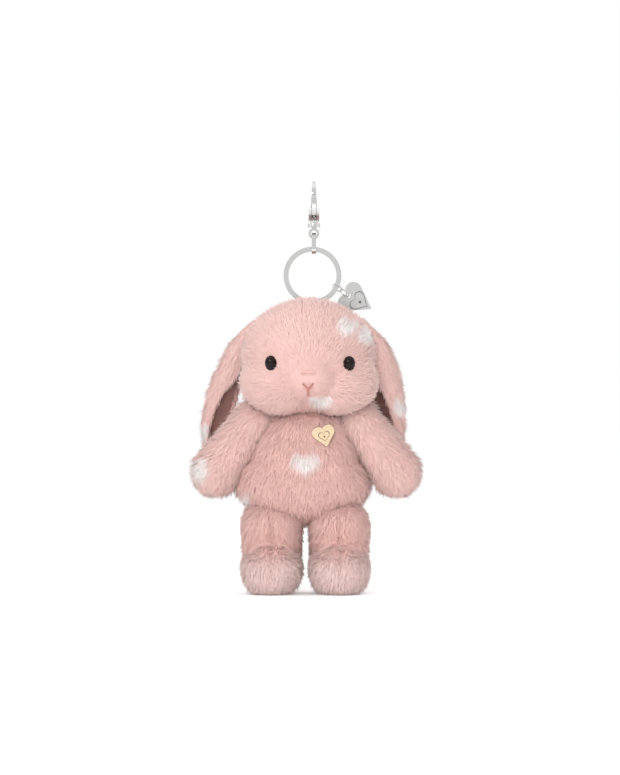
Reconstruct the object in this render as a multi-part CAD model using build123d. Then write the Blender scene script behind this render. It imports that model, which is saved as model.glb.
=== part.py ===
"""Plush bunny keychain: a stuffed rabbit on a split ring with a trigger clasp and a heart tag.

Millimetres. The bunny stands on its soles on z = 0, its face looks along -Y and +Z is up.
The origin is under the middle of the whole keychain. Every piece is one node in parts/.
"""

from build123d import *
from math import asin, atan2, cos, degrees, pi, radians, sin, sqrt
import os

# ---------------------------------------------------------------- driving dimensions

SIDES = {"left": -1.0, "right": 1.0}

# cloth and stuffing
CLOTH = 1.2  # thickness of the plush's backing
STUFFING_GAP = 0.15  # stuffing stays this far inside the cloth
BODY_GAP = 0.5  # room between soft pieces that move past each other

# head
HEAD_CENTRE = Vector(1.2, 2.2, 113.0)
HEAD_RADIUS = 26.8
HEAD_SPREAD = 4.2  # the head's ball is pulled this much wider to each side
MUZZLE_CENTRE = Vector(1.2, -16.5, 103.6)
MUZZLE_RADIUS = 12.5
MUZZLE_SPREAD = 3.0

# face
EYE_CENTRES = {"left": (-17.2, 110.6), "right": (20.2, 110.4)}  # x, z
EYE_RADIUS = 3.4
EYE_PROUD = 0.9  # middle of the dome in front of the cloth
EYE_SHANK_RADIUS = 1.2
EYE_SHANK_LENGTH = 7.4
EYE_WASHER_RADIUS = 3.2
EYE_WASHER_THICKNESS = 1.2
EYE_WASHER_DEPTH = 5.0  # middle of the washer behind the cloth's outside
NOSE_POINT = (0.8, 97.6)  # x, z where the three stitches of the nose meet
NOSE_STITCH_WIDTH = 1.0
NOSE_STITCH_ENDS = [(-2.2, 2.4), (2.2, 2.4), (0.0, -3.0)]  # from the nose point
NOSE_PROUD = -29.0  # y of the front of the nose stitches
BRIDGE_CENTRE = (0.4, 105.6)
BRIDGE_LENGTH = 6.2
BRIDGE_WIDTH = 0.8
BRIDGE_PROUD = -29.4
STITCH_REACH = 4.0  # how far back a stitch runs before the cloth stops it

# ears
EAR_ROOT = (28.6, 127.0)  # x outwards from the middle of the head, z
EAR_ROOT_DEPTH = 4.0  # y at the root
EAR_LENGTH = 62.0
EAR_WIDTH = 19.0
EAR_THICKNESS = 2.4
EAR_LINING_THICKNESS = 1.4
EAR_LINING_MARGIN = 1.6
EAR_SPLAY = 17.0  # degrees outwards from straight down
EAR_BACKWARD = 13.5  # degrees backwards from straight down

# torso: two pear halves side by side, each from a belly ball up to a chest ball
TORSO_X = -1.5
BELLY_RADIUS = 20.5
BELLY_SPREAD = 9.5  # from the middle to each belly ball
BELLY_Z = 53.0
CHEST_RADIUS = 15.0
CHEST_SPREAD = 6.5
CHEST_Z = 69.2
NECK_SEAM_HEIGHT = 81.0
NECK_SEAM_THREAD = 0.5

# arms
SHOULDER = (24.8, -1.0, 83.5)  # x outwards, y, z
SHOULDER_RADIUS = 6.6
PAW = (43.3, -3.0, 58.2)
PAW_RADIUS = 11.2

# legs and feet
HIP_X = {"left": -16.4, "right": 15.4}
LEG_TOP = (1.0, 31.0)  # y, z of the centre of the round top
LEG_TOP_RADIUS = 12.6
ANKLE = (-1.0, 14.0)
ANKLE_RADIUS = 12.9
HEEL = (0.5, 12.4)
HEEL_RADIUS = 12.2
TOE = (-14.9, 10.8)
TOE_RADIUS = 13.1
SOLE_THICKNESS = 1.6

# badge on the chest
BADGE_CENTRE = Vector(8.5, -17.2, 75.2)
BADGE_SIZE = (10.7, 10.0)
BADGE_THICKNESS = 1.2
BADGE_RIM_WIDTH = 0.7
BADGE_RIM_PROUD = 0.3
BADGE_TURN = 15.0
BADGE_POST_RADIUS = 0.6
BADGE_POST_LENGTH = 8.0
BADGE_CLUTCH_RADIUS = 4.0
BADGE_CLUTCH_THICKNESS = 1.4
BADGE_CLUTCH_Y = -10.6

# split ring and the tape loop that holds it
RING_CENTRE = Vector(2.9, 14.0, 152.5)
RING_OUTER_RADIUS = 14.0
RING_WIRE_WIDTH = 2.4  # radial
RING_TURN_THICKNESS = 0.82
RING_SLIT = 0.06  # between the two turns
RING_END_ANGLE = 74.0  # degrees from +X, where a turn ends
RING_END_GAP = 12.0  # degrees
RING_STEP = 4.0  # degrees over which one turn steps to the other
LOOP_WIDTH = 4.0
LOOP_INNER_RADIUS = 1.8
LOOP_TAPE = 0.55
LOOP_TAIL_LENGTH = 8.0

# clasp: heights are z, depths are counted from the middle of the ring
CLASP_X = 3.6
LINK_WIDTH = 2.1
LINK_THICKNESS = 0.8
LINK_INNER_RADIUS = 1.8
LINK_STRAIGHT = 5.4
BOW_INNER_RADIUS = 1.45
BOW_WIRE = 1.2
STEM_RADIUS = 1.0
STEM_HEAD_RADIUS = 1.6
STEM_HEAD_BOTTOM = 178.0
STEM_HEAD_THICKNESS = 0.8
COLLAR_RADIUS = 2.7
COLLAR_BOTTOM = 175.75
COLLAR_HEIGHT = 1.9
HOOK_CENTRE_Z = 188.2
HOOK_SEMI = (6.8, 9.8)
HOOK_MOUTH_Z = 189.55
HOOK_MOUTH_SEMI = (4.3, 5.95)
HOOK_THICKNESS = 2.6
NECK_WIDTH = 5.0
CHEEK_WIDTH = 4.6
CHEEK_TOP = 185.4
SLOT_FLOOR = 180.2
SLOT_WIDTH = 2.4
SLOT_BACK = -1.0
NOSE_LINE = 191.6
GATE_THICKNESS = 1.9
GATE_BOTTOM = 181.6
GATE_WAIST = 184.5  # above this the gate is as deep as the hook's wall
GATE_BACK = -2.6
GATE_GAP = 0.3
GATE_PIVOT = (-4.1, 183.2)
PIN_RADIUS = 0.6
RUNNING_FIT = 0.05
SPRING_CENTRE = -3.1
SPRING_RADIUS = 0.6
SPRING_WIRE_RADIUS = 0.12
SPRING_HEIGHT = 0.95
SPRING_TURNS = 3

# heart tag on two jump rings
TAG_WIRE_ANGLE = -25.6  # where the upper jump ring sits on the split ring, from +X
TAG_CHAIN_ANGLE = -34.8  # the way the chain runs, from +X
JUMP_WIRE_RADIUS = 0.3
JUMP_RADII = (2.6, 2.5)
JUMP_OFFSET = 0.65  # from the split ring's wire to the upper jump ring's middle
JUMP_OVERLAP = 0.85
JUMP_TWIST = 25.0  # each ring turned this much from square, in opposite ways
TAG_SIZE = (15.0, 16.2)
TAG_THICKNESS = 1.0
TAG_TURN = 60.0
TAG_HOLE_RADIUS = 0.9
TAG_HOLE_HEIGHT = 4.6  # above the heart's middle, along its own axis

os.makedirs("parts", exist_ok=True)


# ---------------------------------------------------------------- shapes that repeat


def limb(start, end, start_radius, end_radius):
    """Two balls and the cone that touches both, from start to end."""
    start, end = Vector(start), Vector(end)
    along = end - start
    slope = asin((end_radius - start_radius) / along.length)
    near = Vector(-sin(slope), cos(slope)) * start_radius
    far = Vector(along.length, 0) + Vector(-sin(slope), cos(slope)) * end_radius
    near_mid = (pi + atan2(near.Y, near.X)) / 2
    far_mid = atan2(far.Y, far.X - along.length) / 2
    near_point = Vector(cos(near_mid), sin(near_mid)) * start_radius
    far_point = Vector(along.length, 0) + Vector(cos(far_mid), sin(far_mid)) * end_radius
    outline = [
        ThreePointArc((-start_radius, 0), near_point, near),
        Line(near, far),
        ThreePointArc(far, far_point, (along.length + end_radius, 0)),
        Line((along.length + end_radius, 0), (-start_radius, 0)),
    ]
    turned = revolve(make_face(outline), axis=Axis.X)
    place = Plane(origin=start, x_dir=along.normalized(), z_dir=along.cross(Vector(0, 1, 0)))
    return place.location * turned


def heart(width, height):
    """A heart about its middle, in the sketch plane, its point towards -Y."""
    lobe = width * 0.27
    centre = Vector(width / 2 - lobe, height / 2 - lobe)
    point = Vector(0, -height / 2)
    to_centre = centre - point
    reach = sqrt(to_centre.length**2 - lobe**2)
    bearing = atan2(to_centre.Y, to_centre.X) - asin(lobe / to_centre.length)
    touch = point + Vector(cos(bearing), sin(bearing)) * reach
    corners = [point, touch, centre, Vector(-centre.X, centre.Y), Vector(-touch.X, touch.Y)]
    shape = make_face(Polyline(*corners, close=True))
    for side in SIDES.values():
        shape += Pos(side * centre.X, centre.Y) * Circle(lobe)
    return shape


def facing_front(centre, turn=0.0):
    """A place for a sketch that is seen from the front, turned anticlockwise as seen there."""
    return Pos(centre) * Rot(90, 0, 0) * Rot(0, 0, turn)


def plate(sketch, centre, thickness, turn=0.0):
    """A flat piece seen from the front, centre in the middle of its thickness."""
    return facing_front(centre, turn) * extrude(sketch, amount=thickness / 2, both=True)


def along_y(centre, radius, length):
    """A round bar along Y."""
    return Pos(centre) * Rot(90, 0, 0) * Cylinder(radius, length)


def along_x(centre, radius, length):
    """A round bar along X."""
    return Pos(centre) * Rot(0, 90, 0) * Cylinder(radius, length)


def behind(y):
    """Everything from y backwards."""
    return Pos(0, y + 100, 100) * Box(300, 200, 300)


def above(z):
    """Everything from z up."""
    return Pos(0, 0, z + 150) * Box(300, 300, 300)


def long_ball(centre, radius, spread):
    """A ball pulled wider along X by spread to each side."""
    bar = Rot(0, 90, 0) * Cylinder(radius, 2 * spread)
    return Pos(centre) * (bar + Pos(spread, 0, 0) * Sphere(radius) + Pos(-spread, 0, 0) * Sphere(radius))


def save(name, shape):
    """Write one node."""
    export_step(shape, f"parts/{name}.step")


def save_largest(name, shape):
    """Write one node, without the crumbs that a cut leaves behind."""
    save(name, shape.solids().sort_by(SortBy.VOLUME)[-1])


# ---------------------------------------------------------------- head


def head_body(inset):
    """The head with its muzzle, inset from its outside."""
    skull = long_ball(HEAD_CENTRE, HEAD_RADIUS - inset, HEAD_SPREAD)
    return skull + long_ball(MUZZLE_CENTRE, MUZZLE_RADIUS - inset, MUZZLE_SPREAD)


def skull_front(x, z):
    """The y of the skull's front surface at x and z."""
    aside = max(abs(x - HEAD_CENTRE.X) - HEAD_SPREAD, 0)
    return HEAD_CENTRE.Y - sqrt(HEAD_RADIUS**2 - aside**2 - (z - HEAD_CENTRE.Z) ** 2)


def ring_foot():
    """The middle of the split ring's wire where the loop holds it."""
    return RING_CENTRE - Vector(0, 0, RING_OUTER_RADIUS - RING_WIRE_WIDTH / 2)


def loop_tail():
    """The two tails of the tape, sewn together into the crown."""
    foot = ring_foot()
    middle = foot - Vector(0, 0, LOOP_INNER_RADIUS + LOOP_TAIL_LENGTH / 2)
    return Pos(middle) * Box(LOOP_WIDTH, 2 * LOOP_TAPE, LOOP_TAIL_LENGTH)


def loop_band():
    """The round part of the tape, not yet hollow."""
    return along_x(ring_foot(), LOOP_INNER_RADIUS + LOOP_TAPE, LOOP_WIDTH)


def make_hanging_loop():
    """A tape round the split ring's wire."""
    bore = along_x(ring_foot(), LOOP_INNER_RADIUS, LOOP_WIDTH + 1)
    save("hanging_loop", (loop_band() + loop_tail() - bore).solid())


def stitch(start, end, width, front):
    """A rounded bar of thread from start to end (x, z), its front face at y = front."""
    start, end = Vector(*start), Vector(*end)
    along = end - start
    middle = (start + end) * 0.5
    slot = SlotCenterToCenter(along.length, width)
    turn = degrees(atan2(along.Y, along.X))
    return plate(slot, Vector(middle.X, front + STITCH_REACH / 2, middle.Y), STITCH_REACH, turn)


def make_head():
    """The head's panels and stuffing, its eyes and its stitches."""
    outside = head_body(0.0)
    cloth = outside - head_body(CLOTH) - loop_tail() - loop_band()
    filling = head_body(CLOTH + STUFFING_GAP) - loop_tail() - loop_band()

    for side, (x, z) in EYE_CENTRES.items():
        surface = skull_front(x, z)
        dome = Pos(x, surface - EYE_PROUD, z) * Sphere(EYE_RADIUS)
        shank = along_y(Vector(x, surface + EYE_SHANK_LENGTH / 2, z), EYE_SHANK_RADIUS, EYE_SHANK_LENGTH)
        washer_centre = Vector(x, surface + EYE_WASHER_DEPTH, z)
        washer = along_y(washer_centre, EYE_WASHER_RADIUS, EYE_WASHER_THICKNESS) - shank
        cloth = cloth - dome - shank
        filling = filling - dome - shank - washer
        save(f"eye_{side}", (dome + shank).solid())
        save(f"eye_washer_{side}", washer)

    nose = [
        stitch(NOSE_POINT, (NOSE_POINT[0] + dx, NOSE_POINT[1] + dz), NOSE_STITCH_WIDTH, NOSE_PROUD)
        for dx, dz in NOSE_STITCH_ENDS
    ]
    save_largest("nose_stitching", nose[0] + nose[1] + nose[2] - outside)

    x, z = BRIDGE_CENTRE
    half = BRIDGE_LENGTH / 2
    bridge = stitch((x - half, z), (x + half, z), BRIDGE_WIDTH, BRIDGE_PROUD)
    save_largest("bridge_stitching", bridge - outside)

    save("head_front_cover", cloth - behind(HEAD_CENTRE.Y))
    save("head_back_cover", cloth & behind(HEAD_CENTRE.Y))
    save("head_stuffing", filling)


def make_ear(side, sign):
    """A flat floppy ear: an outer half with a thinner lining in front of it."""
    keep_clear = long_ball(HEAD_CENTRE, HEAD_RADIUS + BODY_GAP, HEAD_SPREAD)
    blade = Ellipse(EAR_LENGTH / 2, EAR_WIDTH / 2)
    inner = Ellipse(EAR_LENGTH / 2 - EAR_LINING_MARGIN, EAR_WIDTH / 2 - EAR_LINING_MARGIN)
    outer = extrude(blade, amount=EAR_THICKNESS)
    lining = extrude(inner, amount=-EAR_LINING_THICKNESS)
    splay, back = radians(EAR_SPLAY), radians(EAR_BACKWARD)
    down = Vector(sign * sin(splay), cos(splay) * sin(back), -cos(splay) * cos(back))
    backwards = (Vector(0, 1, 0) - down * down.Y).normalized()
    root = Vector(sign * EAR_ROOT[0] + HEAD_CENTRE.X, EAR_ROOT_DEPTH, EAR_ROOT[1])
    place = Plane(origin=root + down * (EAR_LENGTH / 2), x_dir=down, z_dir=backwards).location
    save_largest(f"ear_{side}_outer", place * outer - keep_clear)
    save_largest(f"ear_{side}_lining", place * lining - keep_clear)


# ---------------------------------------------------------------- torso, arms and legs


def torso_body(inset):
    """The pear-shaped torso, wider than deep, inset from its outside."""
    halves = [
        limb(
            (TORSO_X + sign * BELLY_SPREAD, 0, BELLY_Z),
            (TORSO_X + sign * CHEST_SPREAD, 0, CHEST_Z),
            BELLY_RADIUS - inset,
            CHEST_RADIUS - inset,
        )
        for sign in SIDES.values()
    ]
    return halves[0] + halves[1]


def arm_body(sign, inset):
    """One arm, inset from its outside."""
    shoulder = (sign * SHOULDER[0], SHOULDER[1], SHOULDER[2])
    paw = (sign * PAW[0], PAW[1], PAW[2])
    return limb(shoulder, paw, SHOULDER_RADIUS - inset, PAW_RADIUS - inset)


def leg_shaft(side, inset):
    """One leg without its foot, inset from its outside."""
    x = HIP_X[side]
    return limb((x, *LEG_TOP), (x, *ANKLE), LEG_TOP_RADIUS - inset, ANKLE_RADIUS - inset)


def leg_body(side, inset):
    """One leg with its foot, inset from its outside, before the sole is cut off."""
    x = HIP_X[side]
    foot = limb((x, *HEEL), (x, *TOE), HEEL_RADIUS - inset, TOE_RADIUS - inset)
    return leg_shaft(side, inset) + foot


def torso_between_limbs(inset, room):
    """The torso inset from its outside, cut back by room from the arms and legs."""
    body = torso_body(inset)
    for side, sign in SIDES.items():
        body -= arm_body(sign, -room)
        body -= leg_shaft(side, -room)
    return body


def badge_post():
    """The pin behind the badge."""
    back = BADGE_CENTRE + Vector(0, (BADGE_THICKNESS + BADGE_POST_LENGTH) / 2, 0)
    return along_y(back, BADGE_POST_RADIUS, BADGE_POST_LENGTH)


def badge_clutch():
    """The disc that the post is pushed into, inside the chest."""
    centre = Vector(BADGE_CENTRE.X, BADGE_CLUTCH_Y, BADGE_CENTRE.Z)
    return along_y(centre, BADGE_CLUTCH_RADIUS, BADGE_CLUTCH_THICKNESS)


def make_torso():
    """The torso's panels and stuffing and the neck seam."""
    outside = torso_between_limbs(0.0, BODY_GAP)
    cloth = outside - torso_between_limbs(CLOTH, BODY_GAP + CLOTH) - badge_post() - badge_clutch()
    inset = CLOTH + STUFFING_GAP
    filling = torso_between_limbs(inset, BODY_GAP + inset) - badge_post() - badge_clutch()
    save_largest("torso_front_cover", cloth - behind(0))
    save_largest("torso_back_cover", cloth & behind(0))
    save_largest("torso_stuffing", filling)
    low = NECK_SEAM_HEIGHT - NECK_SEAM_THREAD
    collar = torso_body(-NECK_SEAM_THREAD) - torso_body(0.0)
    save("neck_seam_thread", (collar & above(low)) - above(low + 2 * NECK_SEAM_THREAD))


def make_badge():
    """The heart badge with its raised rim and post, and its clutch."""
    width, height = BADGE_SIZE
    inner = heart(width - 2 * BADGE_RIM_WIDTH, height - 2 * BADGE_RIM_WIDTH)
    field = plate(heart(width, height), BADGE_CENTRE, BADGE_THICKNESS, BADGE_TURN)
    rim_centre = BADGE_CENTRE - Vector(0, BADGE_THICKNESS / 2, 0)
    rim = plate(heart(width, height) - inner, rim_centre, 2 * BADGE_RIM_PROUD, BADGE_TURN)
    save("heart_badge", (field + rim + badge_post()).solid())
    save("badge_clutch", badge_clutch() - badge_post())


def make_arm(side, sign):
    """One arm's cloth and stuffing."""
    save(f"arm_{side}_cover", arm_body(sign, 0.0) - arm_body(sign, CLOTH))
    save(f"arm_{side}_stuffing", arm_body(sign, CLOTH + STUFFING_GAP))


def make_leg(side):
    """One leg's cloth, its sole and its stuffing."""
    whole = leg_body(side, 0.0) & above(0)
    inset = CLOTH + STUFFING_GAP
    hollow = leg_body(side, CLOTH) & above(SOLE_THICKNESS)
    save(f"leg_{side}_cover", (whole & above(SOLE_THICKNESS)) - hollow)
    save(f"foot_sole_{side}", whole - above(SOLE_THICKNESS))
    save(f"leg_{side}_stuffing", leg_body(side, inset) & above(SOLE_THICKNESS + STUFFING_GAP))


# ---------------------------------------------------------------- split ring and clasp


def ring_turn(y, start, sweep):
    """One flat turn of the split ring, its middle at depth y."""
    inner = RING_OUTER_RADIUS - RING_WIRE_WIDTH
    annulus = Circle(RING_OUTER_RADIUS) - Circle(inner)
    gap = 360 - sweep
    reach = 2 * RING_OUTER_RADIUS
    wedge = Polyline(
        (0, 0),
        (reach, 0),
        (reach * cos(radians(gap)), reach * sin(radians(gap))),
        close=True,
    )
    turn = annulus - make_face(wedge)
    return plate(turn, RING_CENTRE + Vector(0, y, 0), RING_TURN_THICKNESS, start - gap)


def make_split_ring():
    """A flat two-turn ring whose turns step across next to its two open ends."""
    depth = (RING_TURN_THICKNESS + RING_SLIT) / 2
    sweep = 360 - RING_END_GAP
    front = ring_turn(-depth, RING_END_ANGLE + RING_END_GAP, sweep)
    back = ring_turn(depth, RING_END_ANGLE, sweep)
    middle_radius = RING_OUTER_RADIUS - RING_WIRE_WIDTH / 2
    angle = radians(RING_END_ANGLE)
    centre = RING_CENTRE + Vector(middle_radius * cos(angle), 0, middle_radius * sin(angle))
    length = middle_radius * radians(RING_STEP)
    block = Rectangle(RING_WIRE_WIDTH * 0.98, length)
    step = plate(block, centre, 2 * RING_TURN_THICKNESS + RING_SLIT, RING_END_ANGLE)
    save("split_ring", (front + step + back).solid())


def clasp_slab(sketch, width):
    """A flat piece of the clasp: the sketch holds depth and height, the width runs along X."""
    place = Plane(origin=(CLASP_X, RING_CENTRE.Y, 0), x_dir=(0, 1, 0), z_dir=(1, 0, 0)).location
    return place * extrude(sketch, amount=width / 2, both=True)


def box_between(y_low, y_high, z_low, z_high, width):
    """A box of the clasp, from its depths and heights."""
    middle = Vector(CLASP_X, RING_CENTRE.Y + (y_low + y_high) / 2, (z_low + z_high) / 2)
    return Pos(middle) * Box(width, y_high - y_low, z_high - z_low)


def link_foot_z():
    """The height of the split ring's wire where the connector link holds it."""
    return RING_CENTRE.Z + RING_OUTER_RADIUS - RING_WIRE_WIDTH / 2


def bow_centre():
    """The middle of the swivel bow, inside the top of the connector link."""
    height = link_foot_z() + LINK_STRAIGHT + LINK_INNER_RADIUS + LINK_THICKNESS / 2
    return Vector(CLASP_X, RING_CENTRE.Y, height)


def make_connector_link():
    """A flat oval link from the split ring to the swivel bow."""
    outside = SlotCenterToCenter(LINK_STRAIGHT, 2 * (LINK_INNER_RADIUS + LINK_THICKNESS))
    inside = SlotCenterToCenter(LINK_STRAIGHT, 2 * LINK_INNER_RADIUS)
    oval = Pos(0, link_foot_z() + LINK_STRAIGHT / 2) * Rot(0, 0, 90) * (outside - inside)
    save("connector_link", clasp_slab(oval, LINK_WIDTH))


def make_swivel_bow():
    """A round bow with a headed stem that turns in the clasp's foot."""
    centre = bow_centre()
    outer_radius = BOW_INNER_RADIUS + BOW_WIRE
    bow = plate(Circle(outer_radius) - Circle(BOW_INNER_RADIUS), centre, BOW_WIRE)
    stem_bottom = centre.Z + BOW_INNER_RADIUS + BOW_WIRE / 2
    stem_height = STEM_HEAD_BOTTOM - stem_bottom
    stem = Pos(centre.X, centre.Y, stem_bottom + stem_height / 2) * Cylinder(STEM_RADIUS, stem_height)
    head_middle = STEM_HEAD_BOTTOM + STEM_HEAD_THICKNESS / 2
    head = Pos(centre.X, centre.Y, head_middle) * Cylinder(STEM_HEAD_RADIUS, STEM_HEAD_THICKNESS)
    save("swivel_bow", (bow + stem + head).solid())


def hook_outline():
    """The clasp's wall seen from its side, depth and height."""
    outside = Pos(0, HOOK_CENTRE_Z) * Ellipse(*HOOK_SEMI)
    return outside - Pos(0, HOOK_MOUTH_Z) * Ellipse(*HOOK_MOUTH_SEMI)


def gate_pin(radius, width):
    """The gate's pivot pin, or its hole."""
    return along_x(Vector(CLASP_X, RING_CENTRE.Y + GATE_PIVOT[0], GATE_PIVOT[1]), radius, width)


def make_hook_body():
    """The clasp's hook with two cheeks for the gate and a hollow foot for the swivel."""
    far = -2 * HOOK_SEMI[0]
    wall = clasp_slab(hook_outline(), HOOK_THICKNESS)
    wall -= box_between(far, SLOT_BACK, SLOT_FLOOR, NOSE_LINE, 2 * CHEEK_WIDTH)
    low = hook_outline() & Pos(0, CHEEK_TOP - 25) * Rectangle(50, 50)
    cheeks = clasp_slab(low, CHEEK_WIDTH)
    cheeks -= box_between(far, SLOT_BACK, SLOT_FLOOR, CHEEK_TOP + 1, SLOT_WIDTH)
    collar_top = COLLAR_BOTTOM + COLLAR_HEIGHT
    neck = box_between(-NECK_WIDTH / 2, NECK_WIDTH / 2, collar_top, SLOT_FLOOR, CHEEK_WIDTH)
    foot = Pos(CLASP_X, RING_CENTRE.Y, COLLAR_BOTTOM + COLLAR_HEIGHT / 2)
    collar = foot * Cylinder(COLLAR_RADIUS, COLLAR_HEIGHT)
    body = wall + cheeks + neck + collar
    bore_height = STEM_HEAD_BOTTOM - COLLAR_BOTTOM
    bore = Pos(CLASP_X, RING_CENTRE.Y, COLLAR_BOTTOM + bore_height / 2)
    body -= bore * Cylinder(STEM_RADIUS + RUNNING_FIT, bore_height + 2 * RUNNING_FIT)
    pocket_height = STEM_HEAD_THICKNESS + 2 * RUNNING_FIT
    pocket = Pos(CLASP_X, RING_CENTRE.Y, STEM_HEAD_BOTTOM + STEM_HEAD_THICKNESS / 2)
    body -= pocket * Cylinder(STEM_HEAD_RADIUS + RUNNING_FIT, pocket_height)
    body -= gate_pin(PIN_RADIUS, 2 * CHEEK_WIDTH)
    save_largest("hook_body", body)
    save("gate_pivot_pin", gate_pin(PIN_RADIUS, CHEEK_WIDTH))


def make_gate():
    """The gate lever that closes the hook and the spring under its heel."""
    far = -2 * HOOK_SEMI[0]
    wall = clasp_slab(hook_outline(), GATE_THICKNESS)
    upper = box_between(far, SLOT_BACK - GATE_GAP, GATE_WAIST, NOSE_LINE - GATE_GAP, CHEEK_WIDTH)
    lower = box_between(far, GATE_BACK, GATE_BOTTOM, GATE_WAIST, CHEEK_WIDTH)
    gate = (wall & upper) + (wall & lower) - gate_pin(PIN_RADIUS + RUNNING_FIT, CHEEK_WIDTH)
    save_largest("gate_lever", gate)
    pitch = SPRING_HEIGHT / SPRING_TURNS
    path = Helix(pitch, SPRING_HEIGHT, SPRING_RADIUS)
    section = Plane(origin=path @ 0, z_dir=path % 0) * Circle(SPRING_WIRE_RADIUS)
    low = (SLOT_FLOOR + GATE_BOTTOM - SPRING_HEIGHT) / 2
    coil = Pos(CLASP_X, RING_CENTRE.Y + SPRING_CENTRE, low) * sweep(section, path=path)
    save("gate_spring", coil)


# ---------------------------------------------------------------- tag


def chain_direction():
    """The way the tag's chain runs from the split ring."""
    angle = radians(TAG_CHAIN_ANGLE)
    return Vector(cos(angle), 0, sin(angle))


def tag_wire_point():
    """The middle of the split ring's wire inside the upper jump ring."""
    radius = RING_OUTER_RADIUS - RING_WIRE_WIDTH / 2
    angle = radians(TAG_WIRE_ANGLE)
    return RING_CENTRE + Vector(radius * cos(angle), 0, radius * sin(angle))


def jump_centres():
    """The middles of the upper and the lower jump ring."""
    upper = tag_wire_point() + chain_direction() * JUMP_OFFSET
    return upper, upper + chain_direction() * (sum(JUMP_RADII) - JUMP_OVERLAP)


def tag_hole_point():
    """Where the lower jump ring goes through the tag."""
    return jump_centres()[1] + chain_direction() * JUMP_RADII[1]


def jump_ring(centre, radius, twist):
    """A small wire ring that holds the chain's direction in its plane."""
    square = chain_direction().cross(Vector(0, 1, 0))
    normal = square * cos(radians(twist)) + Vector(0, 1, 0) * sin(radians(twist))
    return Plane(origin=centre, z_dir=normal).location * Torus(radius, JUMP_WIRE_RADIUS)


def make_tag():
    """The heart tag and its two jump rings."""
    upper, lower = jump_centres()
    save("tag_ring_upper", jump_ring(upper, JUMP_RADII[0], JUMP_TWIST))
    save("tag_ring_lower", jump_ring(lower, JUMP_RADII[1], -JUMP_TWIST))
    face = heart(*TAG_SIZE) - Pos(0, TAG_HOLE_HEIGHT) * Circle(TAG_HOLE_RADIUS)
    turn = radians(TAG_TURN)
    to_hole = Vector(-sin(turn), 0, cos(turn)) * TAG_HOLE_HEIGHT
    save("heart_tag", plate(face, tag_hole_point() - to_hole, TAG_THICKNESS, TAG_TURN))


# ---------------------------------------------------------------- the whole keychain

make_head()
make_hanging_loop()
make_torso()
make_badge()
for side, sign in SIDES.items():
    make_ear(side, sign)
    make_arm(side, sign)
    make_leg(side)
make_split_ring()
make_connector_link()
make_swivel_bow()
make_hook_body()
make_gate()
make_tag()
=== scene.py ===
"""Looks of a plush bunny keychain: padded plush parts with a combed pile, and plated hardware.

All lengths are metres in the frame's own axes: the bunny looks along -Y and stands on z = 0.
"""

from __future__ import annotations

import logging
import math
from dataclasses import dataclass
from enum import Enum

import bmesh
import bpy
import numpy as np
from mathutils import Matrix, Vector

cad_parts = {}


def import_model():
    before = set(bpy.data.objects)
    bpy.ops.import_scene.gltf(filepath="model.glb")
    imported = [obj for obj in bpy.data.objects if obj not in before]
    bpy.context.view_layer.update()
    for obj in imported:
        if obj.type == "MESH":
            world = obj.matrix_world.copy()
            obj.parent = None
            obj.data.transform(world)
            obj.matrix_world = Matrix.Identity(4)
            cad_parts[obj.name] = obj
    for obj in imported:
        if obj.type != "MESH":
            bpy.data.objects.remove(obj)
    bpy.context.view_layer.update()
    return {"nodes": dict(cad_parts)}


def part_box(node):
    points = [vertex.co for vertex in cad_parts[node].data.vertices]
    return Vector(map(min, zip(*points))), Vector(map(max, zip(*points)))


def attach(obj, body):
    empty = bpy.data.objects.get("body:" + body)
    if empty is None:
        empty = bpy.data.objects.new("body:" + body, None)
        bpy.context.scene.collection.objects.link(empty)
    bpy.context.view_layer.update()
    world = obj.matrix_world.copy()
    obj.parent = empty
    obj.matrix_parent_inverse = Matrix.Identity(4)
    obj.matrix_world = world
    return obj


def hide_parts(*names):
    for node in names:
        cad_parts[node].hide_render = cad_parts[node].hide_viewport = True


LOG = logging.getLogger("bunny")
Array = np.ndarray
Socket = bpy.types.NodeSocket
Colour = tuple[float, float, float]
Point = tuple[float, float, float]

MM = 0.001
TINY = 1e-6  # the least length that a vector is divided by
MERGE = 1e-7  # metres within which two vertices are one
PURE_WHITE = (1.0, 1.0, 1.0)
BALL_SEGMENTS = 28
BALL_RINGS = 18
FLOOR_GAP = 0.02  # mm that the pile keeps off the floor
SKIN_SHADE = 0.25  # the skin is coloured like this place along a tuft
SPARE_ATTRIBUTES = ("comb", "thick", "reach", "skin_normal")


# ---------------------------------------------------------------- finishes


class Shade(Enum):
    """The plush's colours, linear."""

    ROOT = (0.80, 0.470, 0.420)
    TIP = (0.93, 0.640, 0.585)
    LINING_ROOT = (0.22, 0.078, 0.058)
    LINING_TIP = (0.36, 0.150, 0.118)
    WHITE = (0.96, 0.91, 0.89)


def add_node(tree: bpy.types.NodeTree, kind: str, **values: object) -> bpy.types.Node:
    """Adds a node and sets its properties and inputs.

    Args:
        tree: the node tree.
        kind: the node's type name.
        values: properties, or inputs by name with spaces as underscores.

    Returns:
        The new node.
    """
    node = tree.nodes.new(kind)
    for key, value in values.items():
        socket = node.inputs.get(key.replace("_", " "))
        if socket is not None:
            socket.default_value = value
        else:
            setattr(node, key, value)
    return node


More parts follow.
